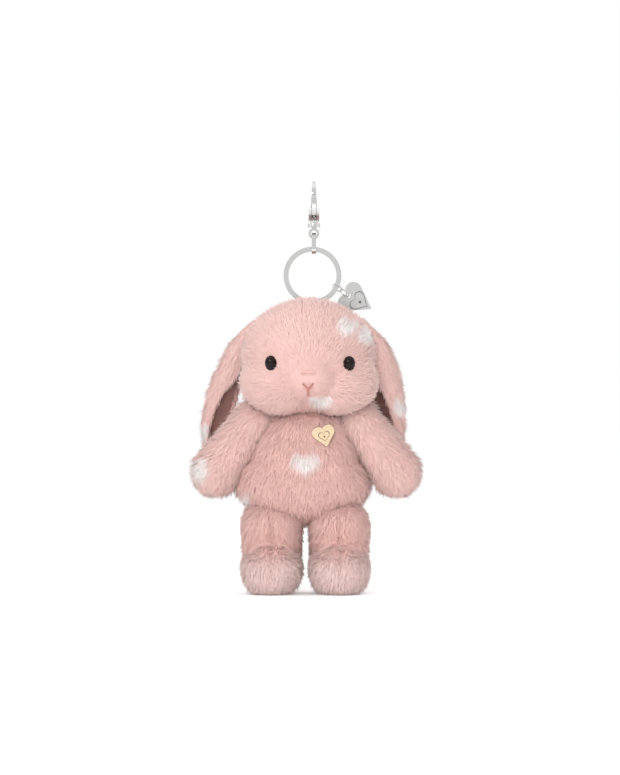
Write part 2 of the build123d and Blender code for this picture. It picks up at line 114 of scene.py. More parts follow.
class NodeBook:
    """Short ways to lay out one material's nodes."""

    # Sockets of a colour Mix node, which has some for each kind of data.
    MIX_FACTOR, MIX_FIRST, MIX_SECOND, MIX_RESULT = 0, 6, 7, 2

    def __init__(self, name: str) -> None:
        """Starts a material with a Principled shader.

        Args:
            name: the material's name.
        """
        self.material = bpy.data.materials.new(name)
        self.material.use_nodes = True
        self.tree = self.material.node_tree
        self.shader = self.tree.nodes["Principled BSDF"]

    def add(self, kind: str, **values: object) -> bpy.types.Node:
        """Adds a node to the material, with its properties and inputs."""
        return add_node(self.tree, kind, **values)

    def link(self, source: Socket, target: Socket) -> None:
        """Joins two sockets."""
        self.tree.links.new(source, target)

    def set(self, **values: object) -> None:
        """Sets the shader's own sockets, by name with spaces as underscores."""
        for key, value in values.items():
            self.shader.inputs[key.replace("_", " ")].default_value = value

    def object_noise(self, scale: float, detail: float = 3.0) -> Socket:
        """Noise on Object coordinates.

        Args:
            scale: the noise's scale, per metre.
            detail: octaves of detail.

        Returns:
            The noise's factor socket.
        """
        place = self.add("ShaderNodeTexCoord")
        noise = self.add("ShaderNodeTexNoise", Scale=scale, Detail=detail)
        self.link(place.outputs["Object"], noise.inputs["Vector"])
        return noise.outputs["Fac"]

    def mix(self, factor: object, first: object, second: object, blend: str = "MIX") -> Socket:
        """Mixes two colours.

        Args:
            factor: a socket or a number.
            first: a socket or a colour, shown where the factor is 0.
            second: a socket or a colour, shown where the factor is 1.
            blend: the way of mixing.

        Returns:
            The mixed colour's socket.
        """
        node = self.add("ShaderNodeMix", data_type="RGBA", blend_type=blend)
        sockets = {self.MIX_FACTOR: factor, self.MIX_FIRST: first, self.MIX_SECOND: second}
        for index, value in sockets.items():
            if isinstance(value, Socket):
                self.link(value, node.inputs[index])
            elif isinstance(value, tuple):
                node.inputs[index].default_value = (*value, 1.0)
            else:
                node.inputs[index].default_value = value
        return node.outputs[self.MIX_RESULT]

    def attribute(self, name: str) -> Socket:
        """The factor of one of the piece's own attributes."""
        return self.add("ShaderNodeAttribute", attribute_name=name).outputs["Fac"]

    def bump(self, height: Socket, strength: float, distance: float) -> None:
        """Feeds a height into the shader's normal.

        Args:
            height: the height's socket.
            strength: 0 to 1.
            distance: metres.
        """
        node = self.add("ShaderNodeBump", Strength=strength, Distance=distance)
        self.link(height, node.inputs["Height"])
        self.link(node.outputs["Normal"], self.shader.inputs["Normal"])


@dataclass(frozen=True)
class PlushFinish:
    """A pile that is darker at its roots and lighter at its tips, with white and lined places."""

    name: str
    sheen: float = 0.25
    blotch: float = 0.5
    blotch_scale: float = 70.0
    blotch_tint: Colour = (0.90, 0.86, 0.86)
    strand: float = 0.45
    strand_scale: float = 2600.0
    strand_tint: Colour = (0.84, 0.80, 0.80)

    def build(self) -> bpy.types.Material:
        """Makes the material.

        Returns:
            The plush material.
        """
        book = NodeBook(self.name)
        along = book.attribute("along")
        pink = book.mix(along, Shade.ROOT.value, Shade.TIP.value)
        lining = book.mix(along, Shade.LINING_ROOT.value, Shade.LINING_TIP.value)
        coat = book.mix(book.attribute("lining"), pink, lining)
        coat = book.mix(book.attribute("patch"), coat, Shade.WHITE.value)
        cloud = book.object_noise(self.blotch_scale, detail=2.0)
        strand = book.object_noise(self.strand_scale, detail=1.0)
        coat = book.mix(self.blotch, coat, book.mix(cloud, self.blotch_tint, PURE_WHITE), "MULTIPLY")
        coat = book.mix(self.strand, coat, book.mix(strand, self.strand_tint, PURE_WHITE), "MULTIPLY")
        book.link(coat, book.shader.inputs["Base Color"])
        book.set(Roughness=0.85, Specular_IOR_Level=0.25, Sheen_Weight=self.sheen, Sheen_Roughness=0.4)
        return book.material


@dataclass(frozen=True)
class MetalFinish:
    """Plated metal whose colour and gloss vary faintly, with a fine grain."""

    name: str
    colour: Colour
    worn: Colour
    roughness: float
    grain: float = 900.0
    depth: float = 0.00002
    relief: float = 0.12
    finer: float = 2.2
    smoothest: float = 0.8
    roughest: float = 1.25

    def build(self) -> bpy.types.Material:
        """Makes the material.

        Returns:
            The metal material.
        """
        book = NodeBook(self.name)
        grain = book.object_noise(self.grain, detail=4.0)
        tone = book.mix(grain, self.colour, self.worn)
        book.link(tone, book.shader.inputs["Base Color"])
        low, high = self.roughness * self.smoothest, self.roughness * self.roughest
        spread = book.add("ShaderNodeMapRange", To_Min=low, To_Max=high)
        book.link(grain, spread.inputs["Value"])
        book.link(spread.outputs["Result"], book.shader.inputs["Roughness"])
        book.bump(book.object_noise(self.grain * self.finer, detail=2.0), self.relief, self.depth)
        book.set(Metallic=1.0)
        return book.material


@dataclass(frozen=True)
class MouldedFinish:
    """Moulded plastic with a slightly cloudy colour."""

    name: str
    colour: Colour
    bright: Colour
    roughness: float
    shine: float = 0.5
    cloud: float = 420.0

    def build(self) -> bpy.types.Material:
        """Makes the material.

        Returns:
            The plastic material.
        """
        book = NodeBook(self.name)
        tone = book.mix(book.object_noise(self.cloud), self.colour, self.bright)
        book.link(tone, book.shader.inputs["Base Color"])
        book.set(Roughness=self.roughness, Specular_IOR_Level=self.shine)
        return book.material


@dataclass(frozen=True)
class ThreadFinish:
    """Embroidery thread or woven tape with a fine twist."""

    name: str
    colour: Colour
    shadow: Colour
    pitch: float = 2200.0
    waver: float = 0.6
    relief: float = 0.5
    depth: float = 0.00008

    def build(self) -> bpy.types.Material:
        """Makes the material.

        Returns:
            The thread material.
        """
        book = NodeBook(self.name)
        place = book.add("ShaderNodeTexCoord")
        wave = book.add("ShaderNodeTexWave", Scale=self.pitch, Distortion=self.waver)
        wave.bands_direction = "DIAGONAL"
        book.link(place.outputs["Object"], wave.inputs["Vector"])
        tone = book.mix(wave.outputs["Fac"], self.shadow, self.colour)
        book.link(tone, book.shader.inputs["Base Color"])
        book.bump(wave.outputs["Fac"], self.relief, self.depth)
        book.set(Roughness=0.7, Sheen_Weight=0.2)
        return book.material


# ---------------------------------------------------------------- mesh helpers


def show(name: str, mesh: bpy.types.Mesh) -> bpy.types.Object:
    """Puts a mesh into the scene as an object at the origin.

    Args:
        name: the object's name.
        mesh: its mesh.

    Returns:
        The new object.
    """
    thing = bpy.data.objects.new(name, mesh)
    bpy.context.scene.collection.objects.link(thing)
    return thing


def finished(name: str, bm: bmesh.types.BMesh) -> bpy.types.Mesh:
    """Turns a bmesh into a mesh.

    Args:
        name: the mesh's name.
        bm: the bmesh. It is freed.

    Returns:
        The mesh.
    """
    mesh = bpy.data.meshes.new(name)
    bm.to_mesh(mesh)
    bm.free()
    return mesh


def shade_round(mesh: bpy.types.Mesh) -> None:
    """Shades every face of a mesh smooth."""
    mesh.polygons.foreach_set("use_smooth", [True] * len(mesh.polygons))


def apply_modifiers(thing: bpy.types.Object) -> None:
    """Bakes an object's modifiers into its mesh.

    Args:
        thing: the object, which is left with no modifiers.
    """
    graph = bpy.context.evaluated_depsgraph_get()
    mesh = bpy.data.meshes.new_from_object(thing.evaluated_get(graph), depsgraph=graph)
    thing.modifiers.clear()
    thing.data = mesh


def add_ball(bm: bmesh.types.BMesh, centre: Point, radii: Point, turn: Matrix | None = None) -> None:
    """Adds an ellipsoid to a bmesh.

    Args:
        bm: the mesh being built.
        centre: its middle, in mm.
        radii: its half-sizes, in mm.
        turn: how it is turned about its middle.
    """
    stretch = Matrix.Diagonal((*radii, 1.0))
    matrix = Matrix.Translation(centre) @ (turn or Matrix.Identity(4)) @ stretch
    grid = {"u_segments": BALL_SEGMENTS, "v_segments": BALL_RINGS}
    bmesh.ops.create_uvsphere(bm, **grid, radius=1.0, matrix=matrix)


def add_limb(
    bm: bmesh.types.BMesh, start: Point, end: Point, near: float, far: float, steps: int = 7
) -> None:
    """Adds a row of balls from start to end, whose radius runs from near to far, in mm.

    Args:
        bm: the mesh being built.
        start: the middle of the first ball.
        end: the middle of the last ball.
        near: the first radius.
        far: the last radius.
        steps: how many balls.
    """
    for step in range(steps):
        part = step / (steps - 1)
        centre = Vector(start).lerp(Vector(end), part)
        radius = near + (far - near) * part
        add_ball(bm, tuple(centre), (radius, radius, radius))


def melted(name: str, bm: bmesh.types.BMesh, voxel: float, rounds: int) -> bpy.types.Object:
    """Melts the balls of a bmesh, given in mm, into one smooth skin.

    Args:
        name: the object's name.
        bm: the balls. It is freed.
        voxel: remesh size, in mm.
        rounds: smoothing rounds.

    Returns:
        The skin as an object, in metres.
    """
    bmesh.ops.scale(bm, vec=(MM, MM, MM), verts=bm.verts)
    skin = show(name, finished(name, bm))
    remesh = skin.modifiers.new("melt", "REMESH")
    remesh.mode = "VOXEL"
    remesh.voxel_size = voxel * MM
    smooth = skin.modifiers.new("smooth", "SMOOTH")
    smooth.factor = 0.5
    smooth.iterations = rounds
    apply_modifiers(skin)
    plump(skin)
    shade_round(skin.data)
    return skin


def plump(skin: bpy.types.Object, frames: int = 8, force: float = 60.0, cap: float = 0.7) -> None:
    """Stuffs a skin: a short cloth simulation under pressure, whose result is written to the mesh.

    Args:
        skin: the closed skin.
        frames: how many steps the pressure lasts.
        force: the pressure.
        cap: how far a point may move, in mm.
    """
    places, _ = read_points(skin.data)
    cloth = skin.modifiers.new("stuffing", "CLOTH")
    cloth.settings.quality = 4
    cloth.settings.use_pressure = True
    cloth.settings.uniform_pressure_force = force
    cloth.settings.effector_weights.gravity = 0.0
    cloth.collision_settings.use_collision = False
    cloth.point_cache.frame_end = frames
    scene = bpy.context.scene
    for step in range(1, frames + 1):
        scene.frame_set(step)
    apply_modifiers(skin)
    scene.frame_set(1)
    swollen, _ = read_points(skin.data)
    move = np.nan_to_num(swollen - places)
    far = np.maximum(np.linalg.norm(move, axis=1, keepdims=True), TINY)
    move_points(skin.data, places + move * np.minimum(1.0, cap / far))
    LOG.info("%s: stuffed, moved up to %.2f mm", skin.name, min(float(far.max()), cap))


def read_points(mesh: bpy.types.Mesh) -> tuple[Array, Array]:
    """Reads a mesh's vertices and normals.

    Args:
        mesh: the mesh.

    Returns:
        Positions in mm and unit normals, each n by 3.
    """
    places = np.empty(len(mesh.vertices) * 3)
    normals = np.empty(len(mesh.vertices) * 3)
    mesh.vertices.foreach_get("co", places)
    mesh.vertex_normals.foreach_get("vector", normals)
    return places.reshape(-1, 3) / MM, normals.reshape(-1, 3)


def move_points(mesh: bpy.types.Mesh, places: Array) -> None:
    """Moves a mesh's vertices to new places, n by 3, in mm."""
    mesh.vertices.foreach_set("co", (places * MM).ravel())
    mesh.update()


def read_vectors(mesh: bpy.types.Mesh, name: str) -> Array:
    """Reads a vector attribute.

    Args:
        mesh: the mesh.
        name: the attribute's name.

    Returns:
        The vectors, n by 3.
    """
    values = np.empty(len(mesh.vertices) * 3, np.float32)
    mesh.attributes[name].data.foreach_get("vector", values)
    return values.reshape(-1, 3)


def write_attribute(mesh: bpy.types.Mesh, name: str, values: Array) -> None:
    """Writes a float or vector for each vertex.

    Args:
        mesh: the mesh.
        name: the attribute's name.
        values: n numbers, or n by 3.
    """
    kind, key = ("FLOAT", "value") if values.ndim == 1 else ("FLOAT_VECTOR", "vector")
    layer = mesh.attributes.get(name) or mesh.attributes.new(name, kind, "POINT")
    layer.data.foreach_set(key, values.astype(np.float32).ravel())


def across_skin(direction: Array, normals: Array) -> Array:
    """Lays directions flat on the skin and makes them unit length.

    Args:
        direction: n by 3.
        normals: n by 3, unit.

    Returns:
        Unit vectors along the skin, n by 3.
    """
    flat = direction - normals * (direction * normals).sum(1, keepdims=True)
    return flat / np.maximum(np.linalg.norm(flat, axis=1, keepdims=True), TINY)


def ramp(values: Array, start: float, end: float) -> Array:
    """A straight fade: 0 at the start value, 1 at the end value, and level beyond them."""
    return np.clip((values - start) / (end - start), 0, 1)


def ridge(offsets: Array, width: float) -> Array:
    """A smooth ridge: 1 where the offset is 0, fading away over the width."""
    return np.exp(-((offsets / width) ** 2))


# ---------------------------------------------------------------- pile


@dataclass(frozen=True)
class HeartPatch:
    """A white heart in the plush's front, in mm and degrees."""

    x: float
    z: float
    width: float
    height: float
    turn: float = 0.0
    unit: float = 0.44
    level: float = 0.55
    crispness: float = 2.0
    wrap: float = 0.15

    def mask(self, places: Array, normals: Array) -> Array:
        """How white each vertex is.

        Args:
            places: n by 3, mm.
            normals: n by 3.

        Returns:
            n numbers from 0 to 1.
        """
        angle = math.radians(self.turn)
        dx = (places[:, 0] - self.x) / (self.width * self.unit)
        dz = (places[:, 2] - self.z) / (self.height * self.unit)
        u = dx * math.cos(angle) + dz * math.sin(angle)
        v = -dx * math.sin(angle) + dz * math.cos(angle)
        inside = (u * u + v * v - 1) ** 3 - u * u * v**3
        return np.clip(self.level - inside * self.crispness, 0, 1) * (normals[:, 1] < self.wrap)


@dataclass(frozen=True)
class Pile:
    """How the plush's pile is cut: lengths in mm, tufts per square mm, the rest as shares."""

    length: float
    density: float
    lift: float = 0.3
    width: float = 0.17
    belly: float = 1.6
    bend: float = 0.22
    jitter: float = 0.16
    smallest: float = 0.7
    largest: float = 1.2
    soft: float = 0.75
    seed: int = 1

    # Seeds of the tufts' random lean, turn and size.
    LEAN_SEED, ROLL_SEED, SIZE_SEED = 11, 12, 13

    def tuft(self) -> bpy.types.Object:
        """Makes one closed, tapering tuft along +Z whose mesh knows how far along it is.

        Returns:
            The tuft, not linked to the scene.
        """
        bm = bmesh.new()
        bmesh.ops.create_cone(
            bm,
            cap_ends=True,
            cap_tris=True,
            segments=3,
            radius1=self.width,
            radius2=0.0,
            depth=self.length,
            matrix=Matrix.Translation((0, 0, self.length / 2)),
        )
        whole = bm.verts[:] + bm.edges[:] + bm.faces[:]
        bmesh.ops.bisect_plane(bm, geom=whole, plane_co=(0, 0, self.length / 2), plane_no=(0, 0, 1))
        for vert in bm.verts:
            part = vert.co.z / self.length
            fat = 1.0 + self.belly * math.sin(math.pi * part)
            vert.co.x = vert.co.x * fat + self.bend * self.length * part * part
            vert.co.y *= fat
        bmesh.ops.scale(bm, vec=(MM, MM, MM), verts=bm.verts)
        bmesh.ops.remove_doubles(bm, verts=bm.verts, dist=MERGE)
        mesh = finished("tuft", bm)
        places, _ = read_points(mesh)
        write_attribute(mesh, "along", places[:, 2] / self.length)
        shade_round(mesh)
        return bpy.data.objects.new("tuft", mesh)

    def nodes(self, tuft: bpy.types.Object) -> bpy.types.NodeTree:
        """Makes the node group that plants tufts along the skin's comb attribute.

        Args:
            tuft: the tuft to plant.

        Returns:
            The geometry node group.
        """
        group = bpy.data.node_groups.new("pile", "GeometryNodeTree")
        for way in ("INPUT", "OUTPUT"):
            group.interface.new_socket("Geometry", in_out=way, socket_type="NodeSocketGeometry")
        link = group.links.new
        source = add_node(group, "NodeGroupInput")
        sink = add_node(group, "NodeGroupOutput")
        scatter = add_node(group, "GeometryNodeDistributePointsOnFaces", Seed=self.seed)
        much = add_node(group, "ShaderNodeMath", operation="MULTIPLY")
        much.inputs[1].default_value = self.density / MM**2
        link(self.named(group, "thick", "FLOAT"), much.inputs[0])
        link(much.outputs[0], scatter.inputs["Density"])
        lean = add_node(group, "ShaderNodeVectorMath", operation="ADD")
        link(self.named(group, "comb", "FLOAT_VECTOR"), lean.inputs[0])
        low, high = (-self.jitter,) * 3, (self.jitter,) * 3
        link(self.random(group, "FLOAT_VECTOR", low, high, self.LEAN_SEED), lean.inputs[1])
        roll = add_node(group, "FunctionNodeEulerToRotation")
        low, high = (0, 0, 0), (0, 0, math.tau)
        link(self.random(group, "FLOAT_VECTOR", low, high, self.ROLL_SEED), roll.inputs[0])
        align = add_node(group, "FunctionNodeAlignRotationToVector", axis="Z")
        link(roll.outputs[0], align.inputs["Rotation"])
        link(lean.outputs[0], align.inputs["Vector"])
        size = add_node(group, "ShaderNodeMath", operation="MULTIPLY")
        link(self.named(group, "reach", "FLOAT"), size.inputs[0])
        low, high = self.smallest, self.largest
        link(self.random(group, "FLOAT", low, high, self.SIZE_SEED), size.inputs[1])
        shape = add_node(group, "GeometryNodeObjectInfo", Object=tuft)
        plant = add_node(group, "GeometryNodeInstanceOnPoints")
        real = add_node(group, "GeometryNodeRealizeInstances")
        keep = add_node(
            group, "GeometryNodeStoreNamedAttribute", data_type="FLOAT_VECTOR", Name="skin_normal"
        )
        link(source.outputs[0], scatter.inputs["Mesh"])
        link(scatter.outputs["Points"], keep.inputs["Geometry"])
        link(scatter.outputs["Normal"], keep.inputs["Value"])
        link(keep.outputs[0], plant.inputs["Points"])
        link(shape.outputs["Geometry"], plant.inputs["Instance"])
        link(align.outputs[0], plant.inputs["Rotation"])
        link(size.outputs[0], plant.inputs["Scale"])
        link(plant.outputs[0], real.inputs[0])
        link(real.outputs[0], sink.inputs[0])
        return group

    @staticmethod
    def named(group: bpy.types.NodeTree, name: str, kind: str) -> Socket:
        """The output of a new node that reads one of the skin's attributes."""
        node = add_node(group, "GeometryNodeInputNamedAttribute", data_type=kind, Name=name)
        return node.outputs["Attribute"]

    @staticmethod
    def random(group: bpy.types.NodeTree, kind: str, low: object, high: object, seed: int) -> Socket:
        """Adds a seeded random value.

        Args:
            group: the node group.
            kind: FLOAT or FLOAT_VECTOR.
            low: the lowest value.
            high: the highest value.
            seed: the seed.

        Returns:
            The output of the value's own kind.
        """
        # The node has sockets for each kind: vectors first, then single numbers.
        node = add_node(group, "FunctionNodeRandomValue", data_type=kind, Seed=seed)
        first, last, out = (0, 1, 0) if kind == "FLOAT_VECTOR" else (2, 3, 1)
        node.inputs[first].default_value = low
        node.inputs[last].default_value = high
        return node.outputs[out]

    def grow(self, name: str, skin: bpy.types.Object) -> bpy.types.Object:
        """Plants the pile on a skin that holds comb, thick, reach and lining.

        Args:
            name: the new piece's name.
            skin: the skin.

        Returns:
            The pile as its own piece.
        """
        pile = show(name, skin.data.copy())
        modifier = pile.modifiers.new("pile", "NODES")
        modifier.node_group = self.nodes(self.tuft())
        apply_modifiers(pile)
        self.soften(pile.data)
        return pile

    def soften(self, mesh: bpy.types.Mesh) -> None:
        """Turns the tufts' shading normals towards the skin's, so that the pile shades as one soft coat.

        Args:
            mesh: the pile's mesh, which holds the skin's normals.
        """
        _, own = read_points(mesh)
        mixed = own * (1 - self.soft) + read_vectors(mesh, "skin_normal") * self.soft
        mixed /= np.maximum(np.linalg.norm(mixed, axis=1, keepdims=True), TINY)
        mesh.normals_split_custom_set_from_vertices(mixed.tolist())


# ---------------------------------------------------------------- plush parts


@dataclass
class PlushPart:
    """One padded part of the bunny with its pile. It rides on the body of its own name."""

    name: str
    nodes: tuple[str, ...]
    pile: Pile
    patches: tuple[HeartPatch, ...] = ()
    voxel: float = 1.3
    rounds: int = 8
    fill: float = 0.8
    pale: float = 0.0
    halves: bool = False

    def form(self) -> bpy.types.Object:
        """Makes the skin. Each part has its own."""
        raise NotImplementedError

    def flow(self, places: Array, normals: Array) -> Array:
        """The way the pile lies, n by 3: straight down unless a part says otherwise."""
        return np.tile((0.0, 0.0, -1.0), (len(places), 1))

    def thickness(self, places: Array, normals: Array) -> Array:
        """How much of the full density grows at each vertex."""
        return np.ones(len(places))

    def reach(self, places: Array, normals: Array) -> Array:
        """How much of the full length grows at each vertex."""
        return np.ones(len(places))

    def lining(self, places: Array, normals: Array) -> Array:
        """How much of the ear lining's shade each vertex has."""
        return np.zeros(len(places))

    def build(self, material: bpy.types.Material) -> None:
        """Makes the skin and its pile and dresses both.

        Args:
            material: the plush.
        """
        skin = self.form()
        places, normals = read_points(skin.data)
        lying = across_skin(self.flow(places, normals), normals)
        lift = self.pile.lift
        write_attribute(skin.data, "comb", lying * (1 - lift) + normals * lift)
        write_attribute(skin.data, "reach", self.reach(places, normals))
        write_attribute(skin.data, "lining", self.lining(places, normals))
        thickness = self.thickness(places, normals)
        front = (places[:, 1] < 0) * 1.0
        shares = {"front": front, "back": 1 - front} if self.halves else {"all": np.ones(len(places))}
        piles = []
        for share, where in shares.items():
            write_attribute(skin.data, "thick", thickness * where)
            piles.append(self.pile.grow(f"{self.name}_pile_{share}", skin))
        write_attribute(skin.data, "along", np.full(len(places), SKIN_SHADE))
        self.whiten(skin.data, normals)
        for pile in piles:
            self.keep_off_floor(pile.data)
            self.whiten(pile.data, read_vectors(pile.data, "skin_normal"))
        for piece in (skin, *piles):
            self.dress(piece, material)
        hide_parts(*self.nodes)

    def dress(self, piece: bpy.types.Object, material: bpy.types.Material) -> None:
        """Gives a piece its material and its body, and clears what only the planting needed.

        Args:
            piece: the skin or a pile.
            material: the plush.
        """
        for spare in SPARE_ATTRIBUTES:
            layer = piece.data.attributes.get(spare)
            if layer:
                piece.data.attributes.remove(layer)
        piece.data.materials.clear()
        piece.data.materials.append(material)
        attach(piece, self.name)
        piece.data.calc_loop_triangles()
        LOG.info("%s: %d triangles", piece.name, len(piece.data.loop_triangles))

    def whiten(self, mesh: bpy.types.Mesh, normals: Array) -> None:
        """Writes how pale each vertex is, with the white hearts.

        Args:
            mesh: the mesh to write on.
            normals: the skin's normals at its vertices, n by 3.
        """
        places, _ = read_points(mesh)
        white = self.paleness(places)
        for patch in self.patches:
            white = np.maximum(white, patch.mask(places, normals))
        write_attribute(mesh, "patch", white)

    def paleness(self, places: Array) -> Array:
        """How far towards white each place fades."""
        return np.full(len(places), self.pale)

    @staticmethod
    def keep_off_floor(mesh: bpy.types.Mesh) -> None:
        """Flattens what reaches below the floor onto it."""
        places, _ = read_points(mesh)
        places[:, 2] = np.maximum(places[:, 2], FLOOR_GAP)
        move_points(mesh, places)


@dataclass
class Head(PlushPart):
    """The round head with cheeks and a soft muzzle. Each fade is where it starts and where it ends."""

    centre: Point = (1.2, 1.2, 113.0)
    radii: Point = (31.2, 26.6, 26.6)
    muzzle: Point = (0.9, -16.5, 103.4)
    muzzle_radii: Point = (15.0, 11.6, 10.6)
    cheek_out: float = 14.0
    cheek_forward: float = -7.0
    cheek_height: float = 101.5
    cheek_radii: Point = (17.5, 16.5, 15.0)
    nose: Point = (0.9, -29.0, 98.0)
    nose_bare: float = 1.0
    nose_fade: tuple[float, float] = (3.0, 21.0)
    nose_reach: float = 0.42
    eyes: tuple[Point, Point] = ((-16.9, -21.0, 109.9), (20.1, -20.8, 109.7))
    eye_bare: float = 3.3
    eye_fade: tuple[float, float] = (3.0, 9.0)
    eye_reach: float = 0.45
    back_fade: tuple[float, float] = (-5.0, 15.0)
    back_fall: float = 1.2

    def form(self) -> bpy.types.Object:
        """Makes the head's skin.

        Returns:
            The skin.
        """
        bm = bmesh.new()
        add_ball(bm, self.centre, self.radii)
        add_ball(bm, self.muzzle, self.muzzle_radii)
        for side in (-1, 1):
            cheek = (self.centre[0] + side * self.cheek_out, self.cheek_forward, self.cheek_height)
            add_ball(bm, cheek, self.cheek_radii)
        return melted("head_plush", bm, self.voxel, self.rounds)

    def flow(self, places: Array, normals: Array) -> Array:
        """The pile lies away from the nose, and more and more downwards towards the back.

        Args:
            places: n by 3, mm.
            normals: n by 3, not used.

        Returns:
            n directions of any length.
        """
        away = places - np.array(self.nose)
        away /= np.linalg.norm(away, axis=1, keepdims=True)
        back = ramp(places[:, 1:2], *self.back_fade)
        return away + back * np.array([[0.0, 0.0, -self.back_fall]])

    def eye_distance(self, places: Array) -> Array:
        """How far each vertex is from the nearer eye, in mm."""
        return np.min([np.linalg.norm(places - np.array(eye), axis=1) for eye in self.eyes], axis=0)

    def thickness(self, places: Array, normals: Array) -> Array:
        """Nothing grows under the eyes and the nose."""
        near_nose = np.linalg.norm((places - np.array(self.nose)) * (1, 0.5, 1), axis=1)
        return (self.eye_distance(places) > self.eye_bare) * (near_nose > self.nose_bare) * 1.0

    def reach(self, places: Array, normals: Array) -> Array:
        """The pile is shorter on the muzzle and round the eyes.

        Args:
            places: n by 3, mm.
            normals: n by 3, not used.

        Returns:
            n shares of the full length.
        """
        near_nose = np.linalg.norm(places - np.array(self.nose), axis=1)
        muzzle = self.nose_reach + (1 - self.nose_reach) * ramp(near_nose, *self.nose_fade)
        eye = self.eye_reach + (1 - self.eye_reach) * ramp(self.eye_distance(places), *self.eye_fade)
        return np.minimum(muzzle, eye)


@dataclass
class Torso(PlushPart):
    """The pear-shaped body: three balls, from the seat up to the neck."""

    balls: tuple[tuple[Point, Point], ...] = (
        ((-1.8, 0.5, 53.5), (30.8, 20.2, 18.5)),
        ((-1.5, 0.5, 66.0), (25.5, 18.0, 18.0)),
        ((-0.3, 0.5, 76.5), (21.5, 14.0, 12.0)),
    )
    collar: float = 85.0
    under_head: float = 0.2

    def form(self) -> bpy.types.Object:
        """Makes the torso's skin.

        Returns:
            The skin.
        """
        bm = bmesh.new()
        for centre, radii in self.balls:
            add_ball(bm, centre, radii)
        return melted("torso_plush", bm, self.voxel, self.rounds)

    def thickness(self, places: Array, normals: Array) -> Array:
        """Thin where the head hides it."""
        return np.where(places[:, 2] > self.collar, self.under_head, 1.0)


@dataclass
class Arm(PlushPart):
    """One arm from the shoulder to the round paw, given for the arm at +X and mirrored by its side."""

    side: float = 1.0
    shoulder: Point = (24.8, -1.0, 82.5)
    paw: Point = (42.6, -2.6, 58.8)
    radii: tuple[float, float] = (8.8, 10.6)
    outward: float = 0.5

    def form(self) -> bpy.types.Object:
        """Makes the arm's skin.

        Returns:
            The skin.
        """
        bm = bmesh.new()
        start, end = ((self.side * point[0], *point[1:]) for point in (self.shoulder, self.paw))
        add_limb(bm, start, end, *self.radii)
        return melted(f"{self.name}_plush", bm, self.voxel, self.rounds)

    def flow(self, places: Array, normals: Array) -> Array:
        """Down along the arm."""
        return np.tile((self.side * self.outward, 0.0, -1.0), (len(places), 1))


@dataclass
class Leg(PlushPart):
    """One leg with its round foot. Hip, shin, heel and toe are places along Y and Z."""

    middle: float = 15.6
    hip: tuple[float, float] = (-3.0, 32.0)
    shin: tuple[float, float] = (-3.0, 15.0)
    leg_radii: tuple[float, float] = (13.0, 12.2)
    heel: tuple[float, float] = (-0.5, 12.2)
    toe: tuple[float, float] = (-14.6, 11.8)
    foot_radii: tuple[float, float] = (11.8, 12.6)
    sole: float = 0.9
    front: float = -5.0
    seam_width: float = 1.3
    seam_depth: float = 1.7
    seam_top: tuple[float, float] = (38.0, 34.0)
    seam_foot: tuple[float, float] = (7.0, 12.0)
    seam_thinning: float = 0.85
    crease: float = 20.5
    crease_width: float = 1.4
    crease_depth: float = 0.9
    instep: tuple[float, float] = (24.0, 18.0)
    upward: float = 1.6
    forward: float = 0.7
    bare_height: float = 1.8
    bare_facing: float = -0.5
    pale_fade: tuple[float, float] = (21.0, 13.0)
    pale_foot: float = 0.32

    def form(self) -> bpy.types.Object:
        """Makes the leg's skin with a flat sole, a seam down the front and a crease at the ankle.

        Returns:
            The skin.
        """
        bm = bmesh.new()
        add_limb(bm, (self.middle, *self.hip), (self.middle, *self.shin), *self.leg_radii)
        add_limb(bm, (self.middle, *self.heel), (self.middle, *self.toe), *self.foot_radii)
        for vert in bm.verts:
            vert.co.z = max(vert.co.z, self.sole)
        skin = melted(f"{self.name}_plush", bm, self.voxel, self.rounds)
        places, normals = read_points(skin.data)
        crease = ridge(places[:, 2] - self.crease, self.crease_width) * self.crease_depth
        sunk = (self.seam(places) * self.seam_depth + crease) * (places[:, 1] < self.front)
        move_points(skin.data, places - normals * sunk[:, None])
        return skin

    def seam(self, places: Array) -> Array:
        """How near each place is to the seam down the leg's front, 0 to 1."""
        high = ramp(places[:, 2], *self.seam_top) * ramp(places[:, 2], *self.seam_foot)
        return ridge(places[:, 0] - self.middle, self.seam_width) * high * (places[:, 1] < self.front)

    def flow(self, places: Array, normals: Array) -> Array:
        """Down the leg and forwards over the foot."""
        foot = ramp(places[:, 2:3], *self.instep) * np.clip(normals[:, 2:3] * self.upward, 0, 1)
        return np.array([[0.0, 0.0, -1.0]]) + foot * np.array([[0.0, -self.forward, 0.0]])

    def thickness(self, places: Array, normals: Array) -> Array:
        """Nothing under the sole, and little in the seam down the front."""
        bare = (places[:, 2] < self.bare_height) & (normals[:, 2] < self.bare_facing)
        return np.where(bare, 0.0, 1 - self.seam_thinning * self.seam(places))

    def paleness(self, places: Array) -> Array:
        """The feet are paler than the legs."""
        return self.pale + self.pale_foot * ramp(places[:, 2], *self.pale_fade)


class EarEdge(Enum):
    """How far out an ear's outer edge runs, in mm, at each of the ear's heights."""

    LEFT = (27.5, 32.0, 38.0, 42.4, 46.2, 49.2, 51.2, 52.4, 52.0, 48.5)
    RIGHT = (27.5, 31.2, 37.6, 41.6, 44.4, 45.8, 46.6, 46.8, 46.0, 43.0)


